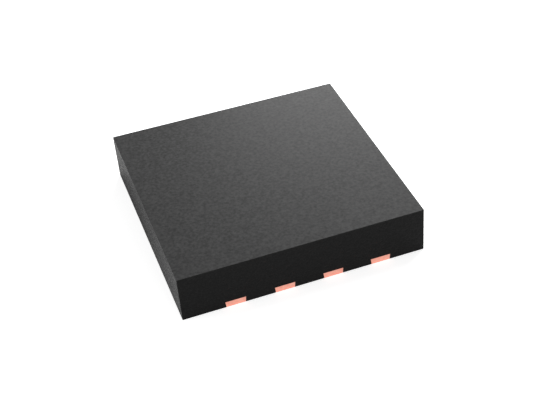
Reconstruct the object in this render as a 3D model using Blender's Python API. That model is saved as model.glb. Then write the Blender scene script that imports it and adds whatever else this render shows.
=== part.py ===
"""A dual flat no-lead chip package with all that its moulding holds: lead frame, die, adhesive and bond wires.

Metres, +Z up. The origin is at the middle of the underside, which is also the soldering plane.
Leads 1 to 4 stand along the -Y side from -X to +X, and leads 5 to 8 come back along the +Y side.
"""
import math

import bmesh
import bpy
from mathutils import Vector
from mathutils.geometry import interpolate_bezier

# Moulded body, sawn square out of a moulded sheet
BODY_WIDTH = 4.0e-3
BODY_DEPTH = 4.0e-3
BODY_HEIGHT = 0.8e-3

# Lead frame, a copper strip that is etched part way through from either face
STRIP_THICKNESS = 0.2e-3
FRAME_OFFSET_X = 0.05e-3        # the saw leaves the frame this far from the body's middle

# Leads: a foot that is soldered, a thinned end at the side face, a bond finger held up off the underside
LEADS_PER_SIDE = 4
LEAD_PITCH = 0.8e-3
FOOT_WIDTH = 0.31e-3            # in the soldering plane
FOOT_LENGTH = 0.45e-3
FOOT_CORNER_RADIUS = 0.12e-3
END_HEIGHT = 0.10e-3            # of the sawn end that shows
END_TOP_WIDTH = 0.33e-3         # the foot's flanks flare upwards, which holds it in the moulding
END_LENGTH = 0.12e-3            # how far the thinned end reaches in
NECK_LENGTH = 0.18e-3           # from the side face to the finger's wings
FINGER_WIDTH = 0.40e-3
FINGER_REACH = 0.14e-3          # beyond the foot
FINGER_THICKNESS = 0.09e-3
FINGER_CORNER_RADIUS = 0.08e-3

# Thermal pad: a soldered face, and a thinner lip round it that locks it in the moulding
PAD_GAP = 0.19e-3               # between the lip and the bond fingers
PAD_MARGIN = 0.38e-3            # between the lip and the body's sides
LIP_REACH = 0.12e-3
LIP_THICKNESS = 0.09e-3
PAD_CORNER_RADIUS = 0.1e-3
PIN_ONE_CHAMFER = 0.3e-3        # on the pad's corner next to lead 1

# Die and the adhesive that holds it, which creeps a little way up the die's sides
DIE_WIDTH = 1.7e-3
DIE_DEPTH = 1.5e-3
DIE_THICKNESS = 0.2e-3
ADHESIVE_THICKNESS = 0.025e-3
ADHESIVE_SPREAD = 0.06e-3
ADHESIVE_RISE = 0.06e-3
ADHESIVE_RIM = 0.015e-3         # width left at the top of the creeping edge
ADHESIVE_CORNER_RADIUS = 0.06e-3

# Bond wires: a squashed ball on the die, a loop, and a flattened stitch on the bond finger
WIRE_DIAMETER = 0.038e-3
WIRE_SIDES = 8
BALL_DIAMETER = 0.09e-3
BALL_HEIGHT = 0.024e-3
BOND_PITCH = 0.42e-3            # along the die's edge
BOND_INSET = 0.1e-3             # from the die's edge
LOOP_RISE = 0.2e-3              # pull of the wire straight up from its ball
LOOP_DROP = 0.26e-3             # height from which it falls to the finger
LOOP_POINTS = 11
STITCH_LENGTH = 0.07e-3
STITCH_INSET = 0.05e-3          # from the finger's tip

# Two pieces that touch are kept this far apart
CLEARANCE = 0.002e-3

CORNER_STEPS = 5
CUTTER_MARGIN = 0.1e-3

# Heights in the stack, from the underside up
ADHESIVE_LOW = STRIP_THICKNESS + CLEARANCE
DIE_LOW = ADHESIVE_LOW + ADHESIVE_THICKNESS + CLEARANCE
DIE_TOP = DIE_LOW + DIE_THICKNESS

# Plan sizes of the pad, which fits between the two rows of leads
FINGER_TIP = FOOT_LENGTH + FINGER_REACH
LIP_WIDTH = BODY_WIDTH - 2 * PAD_MARGIN
LIP_DEPTH = BODY_DEPTH - 2 * (FINGER_TIP + PAD_GAP)


def clear_scene():
    for obj in list(bpy.data.objects):
        bpy.data.objects.remove(obj, do_unlink=True)


def new_collection(name):
    collection = bpy.data.collections.new(name)
    bpy.context.scene.collection.children.link(collection)
    return collection


def material(name, colour, roughness, metallic=0.0):
    made = bpy.data.materials.new(name)
    made.use_nodes = True
    shader = made.node_tree.nodes["Principled BSDF"]
    shader.inputs["Base Color"].default_value = (*colour, 1.0)
    shader.inputs["Roughness"].default_value = roughness
    shader.inputs["Metallic"].default_value = metallic
    return made


def add_part(name, mesh, finish, parent=None):
    mesh.materials.clear()
    mesh.materials.append(finish)
    obj = bpy.data.objects.new(name, mesh)
    parts.objects.link(obj)
    obj.parent = parent
    return obj


def add_cutter(name, mesh, parent=None):
    """A solid that only takes material away from another, or is joined to it."""
    obj = bpy.data.objects.new(name, mesh)
    cutters.objects.link(obj)
    obj.parent = parent
    obj.hide_render = True
    obj.display_type = "WIRE"
    return obj


def mesh_from(bm, name):
    bmesh.ops.recalc_face_normals(bm, faces=bm.faces)
    mesh = bpy.data.meshes.new(name)
    bm.to_mesh(mesh)
    bm.free()
    return mesh


def block(name, size, centre):
    bm = bmesh.new()
    bmesh.ops.create_cube(bm, size=1.0)
    bmesh.ops.scale(bm, vec=size, verts=bm.verts)
    bmesh.ops.translate(bm, vec=centre, verts=bm.verts)
    return mesh_from(bm, name)


def extruded(name, plan, low, high, top_scale=(1.0, 1.0)):
    """A plan outline raised from one height to another, its top drawn in or out about the local Z axis."""
    bm = bmesh.new()
    base = bm.faces.new([bm.verts.new((x, y, low)) for x, y in plan])
    raised = bmesh.ops.extrude_face_region(bm, geom=[base])["geom"]
    top = [item for item in raised if isinstance(item, bmesh.types.BMVert)]
    bmesh.ops.translate(bm, vec=(0.0, 0.0, high - low), verts=top)
    bmesh.ops.scale(bm, vec=(*top_scale, 1.0), verts=top)
    return mesh_from(bm, name)


def loft(name, rings):
    """A closed skin over a row of rings that have the same number of points.

    Its quads are split one way, so that a wire and its larger tunnel stay apart where the skin twists.
    """
    bm = bmesh.new()
    loops = [[bm.verts.new(point) for point in points] for points in rings]
    sides = len(loops[0])
    for lower, upper in zip(loops, loops[1:]):
        for k in range(sides):
            after = (k + 1) % sides
            bm.faces.new((lower[k], lower[after], upper[after], upper[k]))
    bmesh.ops.triangulate(bm, faces=bm.faces, quad_method="FIXED")
    bm.faces.new(loops[0])
    bm.faces.new(loops[-1])
    return mesh_from(bm, name)


def combined(name, mesh, other, operation):
    """The first solid with the second cut from it or joined to it, as a mesh of its own."""
    target = add_cutter(name, mesh)
    tool = add_cutter(name + "_tool", other)
    boolean = target.modifiers.new("combine", "BOOLEAN")
    boolean.operation = operation
    boolean.solver = "EXACT"
    boolean.object = tool
    result = bpy.data.meshes.new_from_object(target.evaluated_get(bpy.context.evaluated_depsgraph_get()))
    result.name = name
    bpy.data.objects.remove(target, do_unlink=True)
    bpy.data.objects.remove(tool, do_unlink=True)
    return result


def corner_arc(x, y, size, steps, turn):
    """Points of one corner of an outline; turn counts quarter turns from the front left corner."""
    middle = math.radians(225 + 90 * turn)
    centre_x = x - math.copysign(size, math.cos(middle))
    centre_y = y - math.copysign(size, math.sin(middle))
    start = math.radians(180 + 90 * turn)
    angles = [start + math.radians(90) * k / steps for k in range(steps + 1)]
    return [(centre_x + size * math.cos(a), centre_y + size * math.sin(a)) for a in angles]


def outline(left, right, front, back, corners, grow=0.0):
    """A rectangle in plan, anticlockwise from its front left corner, swollen by grow on every side.

    corners holds a size and a number of steps for each corner: a size of 0 leaves it sharp,
    one step makes a chamfer, and more steps a round corner.
    """
    places = ((left - grow, front - grow), (right + grow, front - grow),
              (right + grow, back + grow), (left - grow, back + grow))
    points = []
    for turn, ((x, y), (size, steps)) in enumerate(zip(places, corners)):
        if size:
            points += corner_arc(x, y, size + grow, steps, turn)
        else:
            points.append((x, y))
    return points


def lead_mesh(name, grow=0.0):
    """One lead, its sawn end in the plane y = 0 and its finger towards +Y, swollen by grow on every side."""
    sharp = (0.0, 1)
    foot_round = (FOOT_CORNER_RADIUS, CORNER_STEPS)
    half_foot = FOOT_WIDTH / 2
    foot_plan = outline(-half_foot, half_foot, 0.0, FOOT_LENGTH, (sharp, sharp, foot_round, foot_round), grow)
    flare = (END_TOP_WIDTH - FOOT_WIDTH) * STRIP_THICKNESS / END_HEIGHT
    spread = (FOOT_WIDTH + flare + 2 * grow) / (FOOT_WIDTH + 2 * grow)
    foot = extruded(name + "_foot", foot_plan, -grow, STRIP_THICKNESS + grow, (spread, 1.0))

    etched_low = END_HEIGHT + grow
    etched_high = STRIP_THICKNESS + CUTTER_MARGIN
    etched_front = -CUTTER_MARGIN
    etched_back = END_LENGTH - grow
    etched = block(name + "_etched",
                   (2 * FINGER_WIDTH, etched_back - etched_front, etched_high - etched_low),
                   (0.0, (etched_front + etched_back) / 2, (etched_low + etched_high) / 2))
    foot = combined(name + "_foot", foot, etched, "DIFFERENCE")

    finger_round = (FINGER_CORNER_RADIUS, CORNER_STEPS)
    half_finger = FINGER_WIDTH / 2
    finger_plan = outline(-half_finger, half_finger, NECK_LENGTH, FINGER_TIP,
                          (sharp, sharp, finger_round, finger_round), grow)
    finger = extruded(name + "_finger", finger_plan,
                      STRIP_THICKNESS - FINGER_THICKNESS - grow, STRIP_THICKNESS + grow)
    return combined(name, foot, finger, "UNION")


def pad_mesh(name, grow=0.0):
    """The thermal pad: the soldered face at full thickness and the lip that is thinned from below."""
    round_corner = (PAD_CORNER_RADIUS, CORNER_STEPS)
    corners = ((PIN_ONE_CHAMFER, 1), round_corner, round_corner, round_corner)
    half_width = LIP_WIDTH / 2
    half_depth = LIP_DEPTH / 2
    lip_plan = outline(-half_width, half_width, -half_depth, half_depth, corners, grow)
    lip = extruded(name + "_lip", lip_plan, STRIP_THICKNESS - LIP_THICKNESS - grow, STRIP_THICKNESS + grow)
    half_width -= LIP_REACH
    half_depth -= LIP_REACH
    face_plan = outline(-half_width, half_width, -half_depth, half_depth, corners, grow)
    face = extruded(name + "_face", face_plan, -grow, STRIP_THICKNESS - LIP_THICKNESS / 2)
    return combined(name, lip, face, "UNION")


def die_mesh(name, grow=0.0):
    size = (DIE_WIDTH + 2 * grow, DIE_DEPTH + 2 * grow, DIE_THICKNESS + 2 * grow)
    return block(name, size, (0.0, 0.0, (DIE_LOW + DIE_TOP) / 2))


def adhesive_mesh(name, grow=0.0):
    """The adhesive as it squeezes out round the die, before the die's own place is cut from it."""
    slope = (ADHESIVE_SPREAD - ADHESIVE_RIM) / ADHESIVE_RISE
    swell = grow * (slope + math.hypot(1.0, slope))
    half_width = DIE_WIDTH / 2 + ADHESIVE_SPREAD
    half_depth = DIE_DEPTH / 2 + ADHESIVE_SPREAD
    corners = ((ADHESIVE_CORNER_RADIUS, CORNER_STEPS),) * 4
    plan = outline(-half_width, half_width, -half_depth, half_depth, corners, swell)
    drawn_in = slope * (ADHESIVE_RISE + 2 * grow)
    top_scale = (1 - drawn_in / (half_width + swell), 1 - drawn_in / (half_depth + swell))
    return extruded(name, plan, ADHESIVE_LOW - grow, ADHESIVE_LOW + ADHESIVE_RISE + grow, top_scale)


def row_place(index, pitch):
    """Distance of one of a row's places from the row's middle."""
    return (index - (LEADS_PER_SIDE - 1) / 2) * pitch


def ring(centre, side, along, half_side, half_along):
    """An oval of points about a centre, in the plane of two directions."""
    angles = [2 * math.pi * k / WIRE_SIDES for k in range(WIRE_SIDES)]
    return [centre + side * (half_side * math.cos(a)) + along * (half_along * math.sin(a)) for a in angles]


def wire_mesh(name, index, grow=0.0):
    """A bond wire of the front row, lofted from its ball over the loop to its stitch."""
    up = Vector((0.0, 0.0, 1.0))
    radius = WIRE_DIAMETER / 2
    ball = Vector((row_place(index, BOND_PITCH), BOND_INSET - DIE_DEPTH / 2, DIE_TOP + CLEARANCE))
    stitch = Vector((row_place(index, LEAD_PITCH), FINGER_TIP - STITCH_INSET - BODY_DEPTH / 2,
                     STRIP_THICKNESS + CLEARANCE))
    span = stitch - ball
    span.z = 0.0
    heading = span.normalized()
    side = heading.cross(up)

    rings = []
    ball_profile = ((0.0, 0.84), (0.3, 1.0), (0.7, 0.88))
    for rise, width in ball_profile:
        height = BALL_HEIGHT * rise - (grow if rise == 0.0 else 0.0)
        half = BALL_DIAMETER / 2 * width + grow
        rings.append(ring(ball + up * height, side, heading, half, half))

    loop_start = ball + up * BALL_HEIGHT
    loop_end = stitch - heading * STITCH_LENGTH + up * radius
    fall_start = loop_end - span / 2 + up * LOOP_DROP
    loop = interpolate_bezier(loop_start, loop_start + up * LOOP_RISE, fall_start, loop_end, LOOP_POINTS)
    for k, point in enumerate(loop):
        before = loop[max(k - 1, 0)]
        after = loop[min(k + 1, LOOP_POINTS - 1)]
        course = up if k == 0 else (after - before).normalized()
        rings.append(ring(point, side, course.cross(side), radius + grow, radius + grow))

    stitch_profile = ((0.35, 1.4, 0.6), (0.7, 2.0, 0.32), (1.0, 1.7, 0.2))
    for part, width, thickness in stitch_profile:
        advance = STITCH_LENGTH * part + (grow if part == 1.0 else 0.0)
        half_thickness = radius * thickness
        centre = stitch + heading * (advance - STITCH_LENGTH) + up * half_thickness
        rings.append(ring(centre, side, heading.cross(side), radius * width + grow, half_thickness + grow))
    return loft(name, rings)


def place_in_row(obj, index, rear):
    """Stands a lead at its place in the front row, or turned half round in the rear row."""
    side = -1.0 if rear else 1.0
    obj.location = (side * row_place(index, LEAD_PITCH), -side * BODY_DEPTH / 2, 0.0)
    obj.rotation_euler.z = math.pi if rear else 0.0


def build_leads(frame, finish):
    lead = lead_mesh("lead")
    pocket = lead_mesh("lead_pocket", CLEARANCE)
    for rear in (False, True):
        for index in range(LEADS_PER_SIDE):
            number = index + 1 + (LEADS_PER_SIDE if rear else 0)
            place_in_row(add_part(f"lead_{number}", lead, finish, frame), index, rear)
            place_in_row(add_cutter(f"lead_pocket_{number}", pocket, frame), index, rear)


def build_pad(frame, finish):
    add_part("thermal_pad", pad_mesh("thermal_pad"), finish, frame)
    add_cutter("pad_pocket", pad_mesh("pad_pocket", CLEARANCE), frame)


def build_die(frame, die_finish, adhesive_finish):
    add_part("silicon_die", die_mesh("silicon_die"), die_finish, frame)
    add_cutter("die_pocket", die_mesh("die_pocket", CLEARANCE), frame)
    adhesive = combined("die_attach", adhesive_mesh("die_attach"), die_mesh("die_seat", CLEARANCE), "DIFFERENCE")
    add_part("die_attach", adhesive, adhesive_finish, frame)
    add_cutter("adhesive_pocket", adhesive_mesh("adhesive_pocket", CLEARANCE), frame)


def build_wires(frame, finish):
    for index in range(LEADS_PER_SIDE):
        wire = wire_mesh(f"bond_wire_{index + 1}", index)
        wire.shade_smooth()
        tunnel = wire_mesh(f"wire_tunnel_{index + 1}", index, CLEARANCE)
        for rear in (False, True):
            number = index + 1 + (LEADS_PER_SIDE if rear else 0)
            turned = math.pi if rear else 0.0
            add_part(f"bond_wire_{number}", wire, finish, frame).rotation_euler.z = turned
            add_cutter(f"wire_tunnel_{number}", tunnel, frame).rotation_euler.z = turned


def build_body(finish):
    """The moulding, with a place for every piece that it was moulded round."""
    body_mesh = block("moulded_body", (BODY_WIDTH, BODY_DEPTH, BODY_HEIGHT), (0.0, 0.0, BODY_HEIGHT / 2))
    body = add_part("moulded_body", body_mesh, finish)
    places = body.modifiers.new("places_of_the_pieces", "BOOLEAN")
    places.operation = "DIFFERENCE"
    places.solver = "EXACT"
    places.operand_type = "COLLECTION"
    places.collection = cutters


clear_scene()
parts = new_collection("qfn_chip")
cutters = new_collection("cutters")

# The lead frame carries everything inside the moulding, and stands a little off the body's middle
lead_frame = bpy.data.objects.new("lead_frame", None)
parts.objects.link(lead_frame)
lead_frame.location.x = FRAME_OFFSET_X

copper = material("copper", (0.93, 0.50, 0.38), 0.35, 1.0)
silicon = material("silicon", (0.16, 0.17, 0.20), 0.2, 0.4)
silver_epoxy = material("silver_epoxy", (0.62, 0.62, 0.60), 0.6, 0.5)
gold = material("gold", (0.95, 0.72, 0.32), 0.25, 1.0)
epoxy = material("moulding_compound", (0.030, 0.030, 0.031), 0.6)

build_leads(lead_frame, copper)
build_pad(lead_frame, copper)
build_die(lead_frame, silicon, silver_epoxy)
build_wires(lead_frame, gold)
build_body(epoxy)
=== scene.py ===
"""The looks of a black no-lead chip package: its moulding compound, sawn copper ends and tinned feet.

Metres and degrees. The front faces -Y, and an azimuth turns from the rear (+Y) towards the right (+X).
"""
import math

import bpy
from mathutils import Matrix, Vector


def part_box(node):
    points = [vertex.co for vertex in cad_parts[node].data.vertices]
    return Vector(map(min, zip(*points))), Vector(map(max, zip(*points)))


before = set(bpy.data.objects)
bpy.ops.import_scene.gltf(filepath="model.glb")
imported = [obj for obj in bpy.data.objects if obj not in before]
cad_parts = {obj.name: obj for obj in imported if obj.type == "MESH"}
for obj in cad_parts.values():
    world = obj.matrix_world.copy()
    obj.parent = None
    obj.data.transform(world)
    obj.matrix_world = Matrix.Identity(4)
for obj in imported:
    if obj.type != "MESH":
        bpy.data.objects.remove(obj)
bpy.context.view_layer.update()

# Camera, fitted to the edges of the object in the photograph
IMAGE_WIDTH_PX = 560
FOCAL_LENGTH_PX = 1183.1
PERSPECTIVE_CENTRE_X_PX = 344.0     # right of the picture's middle
SENSOR_WIDTH_MM = 36.0
CAMERA_PLACE = Vector((-4.172e-3, -14.989e-3, 12.401e-3))
CAMERA_HEADING = 20.476             # the azimuth that it looks towards
CAMERA_FALL = 38.355                # how far it looks down
CAMERA_ROLL = 2.541                 # the picture's right side dips
CLIP_START = 1e-4
CLIP_END = 10.0

# World and floor
WHITE = 1.0                         # a strength that looks white
DOME_LEVEL = 0.25                   # of the white world, as a light on the object
FLOOR_SIZE = 0.4
FLOOR_GAP = 0.5e-6                  # under the object
FLOOR_GREY = 0.8
FLOOR_GLOW = 0.66                   # near the object, and rising to white beyond its shadow
SHADOW_REACH = 5e-3                 # from the object's middle

# The floor's glow in the object's gloss, which rises from the rear left to the front right
GLOSS_GLOW = 0.5                    # at the front right
GLOSS_GLOW_FROM = -2.0e-3           # places along the line to the front right
GLOSS_GLOW_TO = 0.6e-3
TO_FRONT_RIGHT = (math.sqrt(0.5), -math.sqrt(0.5), 0.0)
LEFT_GLOW = 0.65                    # more of it, outwards from the object's left side
LEFT_GLOW_REACH = 0.5e-3

# Spans of a noise's values that a pattern is drawn from: a narrow one gives more contrast
WIDE_SPAN = (0.3, 0.7)
NARROW_SPAN = (0.35, 0.65)
UPPER_SPAN = (0.45, 0.75)           # leaves only the brighter spots

# Sawn faces of the moulding and of the copper
SAW_LINE_SIZE = 20e-6
SAW_STRETCH = (0.05, 0.05, 1.0)     # draws the lines out along the sides, the way that the blade ran
LEVEL_LIMIT = 0.5                   # a face whose normal rises or falls further is level, and not sawn

# Moulding compound, where it was moulded
GRAIN_SIZE = 48e-6
MOULDED_LEVELS = (0.036, 0.064)
MOULDED_ROUGHNESS = (0.38, 0.46)

# Moulding compound, where it was sawn
FILLER_SIZE = 24e-6
CUT_GRAIN_SIZE = 34e-6
CUT_GRAIN_SHARE = 0.8               # of the pattern; the rest is saw lines
# about a third of the moulded grey: partly the sawn finish, partly painted shade on the sides
SAWN_AND_SHADED_LEVELS = (0.015, 0.021)
SAWN_ROUGHNESS = (0.20, 0.48)
SAWN_RELIEF = 22.0                  # in times that of the moulded faces

# Moulding compound, all over
EPOXY_RELIEF_DEPTH = 1.5e-6
EPOXY_RELIEF_STRENGTH = 0.5
EPOXY_SPECULAR_LEVEL = 0.021

# Lead frame
COPPER_BLOTCH_SIZE = 60e-6
COPPER_DARK = (0.90, 0.39, 0.30, 1.0)
COPPER_LIGHT = (0.96, 0.49, 0.39, 1.0)
COPPER_ROUGHNESS = (0.30, 0.38)
TIN_CRYSTAL_SIZE = 25e-6
TIN_DARK = (0.62, 0.62, 0.60, 1.0)
TIN_LIGHT = (0.74, 0.74, 0.72, 1.0)
TIN_ROUGHNESS = (0.42, 0.58)
TIN_HEIGHT_LIMIT = 5e-6             # a level face below this lies in the soldering plane
METAL_RELIEF_DEPTH = 1e-6
METAL_RELIEF_STRENGTH = 0.3

# Plain finishes of the hidden pieces
ROUGHNESS_SPREAD = 0.05             # either way

# Pieces and places of the frame
LEAD_NUMBERS = range(1, 9)
LEADS = [f"lead_{number}" for number in LEAD_NUMBERS]
WIRES = [f"bond_wire_{number}" for number in LEAD_NUMBERS]
BODY_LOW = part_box("moulded_body")[0]


def turned(angle, axis):
    return Matrix.Rotation(math.radians(angle), 4, axis)


def set_camera():
    data = bpy.data.cameras.new("camera")
    data.sensor_width = SENSOR_WIDTH_MM
    data.lens = FOCAL_LENGTH_PX * SENSOR_WIDTH_MM / IMAGE_WIDTH_PX
    data.shift_x = (IMAGE_WIDTH_PX / 2 - PERSPECTIVE_CENTRE_X_PX) / IMAGE_WIDTH_PX
    data.clip_start = CLIP_START
    data.clip_end = CLIP_END
    camera = bpy.data.objects.new("camera", data)
    bpy.context.scene.collection.objects.link(camera)
    aim = turned(-CAMERA_HEADING, "Z") @ turned(90.0 - CAMERA_FALL, "X") @ turned(-CAMERA_ROLL, "Z")
    camera.matrix_world = Matrix.Translation(CAMERA_PLACE) @ aim
    bpy.context.scene.camera = camera


def add_lamp(name, azimuth, elevation, distance, size, radiance):
    """A square soft lamp that faces the object and doesn't show in the picture."""
    data = bpy.data.lights.new(name, "AREA")
    data.size = size
    data.energy = radiance * math.pi * size * size
    lamp = bpy.data.objects.new(name, data)
    bpy.context.scene.collection.objects.link(lamp)
    direction = turned(-azimuth, "Z") @ turned(elevation, "X") @ Vector((0.0, 1.0, 0.0))
    lamp.location = direction * distance
    lamp.rotation_euler = (-direction).to_track_quat("-Z", "Y").to_euler()
    lamp.visible_camera = False


class Nodes:
    """Short calls for a material's or a world's node tree; an input is a socket or a plain value."""

    def __init__(self, tree):
        self.tree = tree
        tree.nodes.clear()

    def add(self, kind, inputs=None, **settings):
        node = self.tree.nodes.new(kind)
        for name, value in settings.items():
            setattr(node, name, value)
        for socket, value in (inputs or {}).items():
            self.feed(node.inputs[socket], value)
        return node

    def feed(self, socket, value):
        if isinstance(value, bpy.types.NodeSocket):
            self.tree.links.new(value, socket)
        else:
            socket.default_value = value

    def place(self):
        """Where a point is, in the axes of its object."""
        return self.add("ShaderNodeTexCoord").outputs["Object"]

    def facing_up(self):
        """From 1 on a face that looks up to -1 on one that looks down."""
        return self.part(self.add("ShaderNodeTexCoord").outputs["Normal"], "Z")

    def part(self, vector, axis):
        return self.add("ShaderNodeSeparateXYZ", {"Vector": vector}).outputs[axis]

    def calculate(self, operation, *values):
        return self.add("ShaderNodeMath", dict(enumerate(values)), operation=operation).outputs["Value"]

    def measure(self, operation, *vectors):
        """A number worked out from vectors."""
        inputs = dict(enumerate(vectors))
        return self.add("ShaderNodeVectorMath", inputs, operation=operation).outputs["Value"]

    def ramp(self, value, low, high, to_low=0.0, to_high=1.0):
        """A value carried from one range to another, and held at its ends."""
        inputs = {"Value": value, "From Min": low, "From Max": high, "To Min": to_low, "To Max": to_high}
        return self.add("ShaderNodeMapRange", inputs).outputs["Result"]

    def mix(self, factor, first, second):
        """Two colours mixed."""
        return self.mixed("RGBA", "Color", factor, first, second)

    def blend(self, factor, first, second):
        """Two numbers mixed."""
        return self.mixed("FLOAT", "Float", factor, first, second)

    def mixed(self, data_type, suffix, factor, first, second):
        node = self.add("ShaderNodeMix", data_type=data_type)
        for name, value in (("Factor_Float", factor), (f"A_{suffix}", first), (f"B_{suffix}", second)):
            self.feed(next(socket for socket in node.inputs if socket.identifier == name), value)
        return next(socket for socket in node.outputs if socket.identifier == f"Result_{suffix}")

    def noise(self, place, size, detail=2.0, roughness=0.5):
        """Noise whose blotches are about size metres across."""
        inputs = {"Vector": place, "Scale": 1.0 / size, "Detail": detail, "Roughness": roughness}
        return self.add("ShaderNodeTexNoise", inputs).outputs["Fac"]

    def saw_lines(self, place):
        drawn_out = self.add("ShaderNodeMapping", {"Vector": place, "Scale": SAW_STRETCH})
        return self.noise(drawn_out.outputs["Vector"], SAW_LINE_SIZE)

    def relief(self, height, depth, strength):
        """A normal that follows a fine relief."""
        inputs = {"Height": height, "Distance": depth, "Strength": strength}
        return self.add("ShaderNodeBump", inputs).outputs["Normal"]

    def surface(self, inputs):
        """A Principled shader with these inputs, as the whole material."""
        shader = self.add("ShaderNodeBsdfPrincipled", inputs)
        self.add("ShaderNodeOutputMaterial", {"Surface": shader.outputs["BSDF"]})


def grey(level):
    return (level, level, level, 1.0)


def new_material(name):
    made = bpy.data.materials.new(name)
    made.use_nodes = True
    return made, Nodes(made.node_tree)


def epoxy_material():
    """Moulding compound: matt and finely grained where moulded, darker with faint saw lines where sawn;
    the sides' darker grey is partly the sawn finish and partly painted shade.
    """
    made, nodes = new_material("moulded_epoxy")
    place = nodes.place()
    moulded = nodes.calculate("GREATER_THAN", nodes.calculate("ABSOLUTE", nodes.facing_up()), LEVEL_LIMIT)

    grain = nodes.noise(place, GRAIN_SIZE, detail=3.0, roughness=0.6)
    filler = nodes.noise(place, FILLER_SIZE, detail=1.0)
    cut_grain = nodes.noise(place, CUT_GRAIN_SIZE, roughness=0.6)
    cut = nodes.blend(CUT_GRAIN_SHARE, nodes.saw_lines(place), cut_grain)

    moulded_colour = nodes.mix(nodes.ramp(grain, *WIDE_SPAN), *map(grey, MOULDED_LEVELS))
    # the sides' darker grey: partly the sawn finish, partly painted shade
    sawn_and_shaded_colour = nodes.mix(nodes.ramp(filler, *UPPER_SPAN), *map(grey, SAWN_AND_SHADED_LEVELS))
    moulded_rough = nodes.ramp(grain, *WIDE_SPAN, *MOULDED_ROUGHNESS)
    sawn_rough = nodes.ramp(cut, *NARROW_SPAN, *SAWN_ROUGHNESS)
    height = nodes.blend(moulded, nodes.calculate("MULTIPLY", cut, SAWN_RELIEF), grain)
    nodes.surface({
        "Base Color": nodes.mix(moulded, sawn_and_shaded_colour, moulded_colour),
        "Roughness": nodes.blend(moulded, sawn_rough, moulded_rough),
        "Specular IOR Level": EPOXY_SPECULAR_LEVEL,
        "Normal": nodes.relief(height, EPOXY_RELIEF_DEPTH, EPOXY_RELIEF_STRENGTH)})
    return made


def copper_material():
    """Lead frame copper: bare where it was sawn and inside the moulding, tinned on its soldered faces."""
    made, nodes = new_material("lead_frame_copper")
    place = nodes.place()
    looks_down = nodes.calculate("LESS_THAN", nodes.facing_up(), -LEVEL_LIMIT)
    is_low = nodes.calculate("LESS_THAN", nodes.part(place, "Z"), TIN_HEIGHT_LIMIT)
    soldered = nodes.calculate("MULTIPLY", looks_down, is_low)

    blotch = nodes.noise(place, COPPER_BLOTCH_SIZE, detail=3.0)
    saw_lines = nodes.saw_lines(place)
    crystal = nodes.noise(place, TIN_CRYSTAL_SIZE, detail=3.0, roughness=0.7)

    copper = nodes.mix(nodes.ramp(blotch, *NARROW_SPAN), COPPER_DARK, COPPER_LIGHT)
    tin = nodes.mix(nodes.ramp(crystal, *NARROW_SPAN), TIN_DARK, TIN_LIGHT)
    copper_rough = nodes.ramp(saw_lines, *WIDE_SPAN, *COPPER_ROUGHNESS)
    tin_rough = nodes.ramp(crystal, *WIDE_SPAN, *TIN_ROUGHNESS)
    height = nodes.blend(soldered, saw_lines, crystal)
    nodes.surface({
        "Base Color": nodes.mix(soldered, copper, tin),
        "Metallic": 1.0,
        "Roughness": nodes.blend(soldered, copper_rough, tin_rough),
        "Normal": nodes.relief(height, METAL_RELIEF_DEPTH, METAL_RELIEF_STRENGTH)})
    return made


def plain_material(name, dark, light, blotch_size, roughness, metallic):
    """A finish whose colour and roughness vary a little."""
    made, nodes = new_material(name)
    blotch = nodes.noise(nodes.place(), blotch_size, detail=3.0)
    smoothest = roughness - ROUGHNESS_SPREAD
    roughest = roughness + ROUGHNESS_SPREAD
    nodes.surface({
        "Base Color": nodes.mix(nodes.ramp(blotch, *NARROW_SPAN), dark, light),
        "Metallic": metallic,
        "Roughness": nodes.ramp(blotch, *WIDE_SPAN, smoothest, roughest)})
    return made


def dress(names, finish):
    for name in names:
        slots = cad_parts[name].data.materials
        slots.clear()
        slots.append(finish)


def glow_strength(nodes, directly, in_gloss, as_light):
    """How strong a glow is: seen directly, seen in or through the object, or as a light on it."""
    rays = nodes.add("ShaderNodeLightPath").outputs
    in_object = nodes.calculate("MAXIMUM", rays["Is Glossy Ray"], rays["Is Transmission Ray"])
    return nodes.blend(rays["Is Camera Ray"], nodes.blend(in_object, as_light, in_gloss), directly)


def set_world():
    world = bpy.data.worlds.new("studio")
    bpy.context.scene.world = world
    world.use_nodes = True
    nodes = Nodes(world.node_tree)
    dome = nodes.add("ShaderNodeBackground", {
        "Color": grey(WHITE),
        "Strength": glow_strength(nodes, directly=WHITE, in_gloss=WHITE, as_light=DOME_LEVEL)})
    nodes.add("ShaderNodeOutputWorld", {"Surface": dome.outputs["Background"]})


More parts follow.
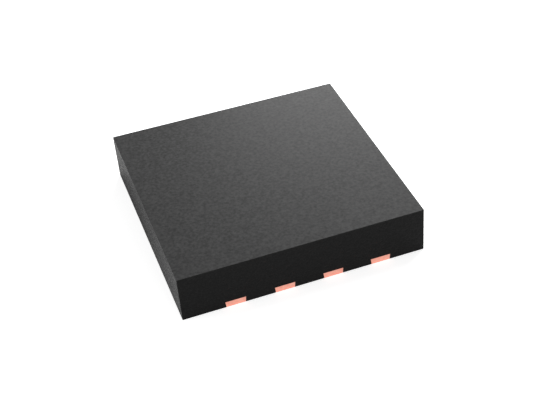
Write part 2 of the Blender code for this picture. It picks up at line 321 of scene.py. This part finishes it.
def floor_material():
    """Pale and lit, so that it takes the object's shadow, with a glow that makes the rest of it white."""
    made, nodes = new_material("floor")
    place = nodes.place()
    from_middle = nodes.measure("LENGTH", place)
    to_front_right = nodes.measure("DOT_PRODUCT", place, TO_FRONT_RIGHT)
    to_right = nodes.part(place, "X")

    directly = nodes.ramp(from_middle, SHADOW_REACH, 2 * SHADOW_REACH, FLOOR_GLOW, WHITE)
    across = nodes.ramp(to_front_right, GLOSS_GLOW_FROM, GLOSS_GLOW_TO, 0.0, GLOSS_GLOW)
    at_left = nodes.ramp(to_right, BODY_LOW.x - LEFT_GLOW_REACH, BODY_LOW.x, LEFT_GLOW, 0.0)
    in_gloss = nodes.calculate("ADD", at_left, across)
    glow = nodes.add("ShaderNodeEmission", {
        "Color": grey(WHITE), "Strength": glow_strength(nodes, directly, in_gloss, as_light=0.0)})
    lit = nodes.add("ShaderNodeBsdfDiffuse", {"Color": grey(FLOOR_GREY)})
    both = nodes.add("ShaderNodeAddShader", {0: lit.outputs["BSDF"], 1: glow.outputs["Emission"]})
    nodes.add("ShaderNodeOutputMaterial", {"Surface": both.outputs["Shader"]})
    return made


def set_floor():
    bpy.ops.mesh.primitive_plane_add(size=FLOOR_SIZE, location=(0.0, 0.0, BODY_LOW.z - FLOOR_GAP))
    floor = bpy.context.object
    floor.name = "floor"
    floor.data.materials.append(floor_material())


set_camera()
set_world()
set_floor()
add_lamp("back", azimuth=25.0, elevation=25.0, distance=10e-3, size=5e-3, radiance=10.3)
add_lamp("right", azimuth=70.0, elevation=50.0, distance=7e-3, size=4e-3, radiance=7.3)
add_lamp("front", azimuth=180.0, elevation=22.0, distance=20e-3, size=12e-3, radiance=2.5)
add_lamp("left", azimuth=270.0, elevation=30.0, distance=20e-3, size=12e-3, radiance=3.0)

dress(["moulded_body"], epoxy_material())
dress(LEADS + ["thermal_pad"], copper_material())
dress(["silicon_die"], plain_material(
    "silicon", dark=(0.05, 0.055, 0.07, 1.0), light=(0.07, 0.075, 0.09, 1.0),
    blotch_size=80e-6, roughness=0.2, metallic=0.4))
dress(["die_attach"], plain_material(
    "silver_epoxy", dark=(0.40, 0.40, 0.39, 1.0), light=(0.52, 0.52, 0.50, 1.0),
    blotch_size=10e-6, roughness=0.55, metallic=0.6))
dress(WIRES, plain_material(
    "gold", dark=(0.86, 0.52, 0.16, 1.0), light=(0.92, 0.60, 0.21, 1.0),
    blotch_size=30e-6, roughness=0.22, metallic=1.0))

bpy.context.scene.view_settings.view_transform = "Standard"
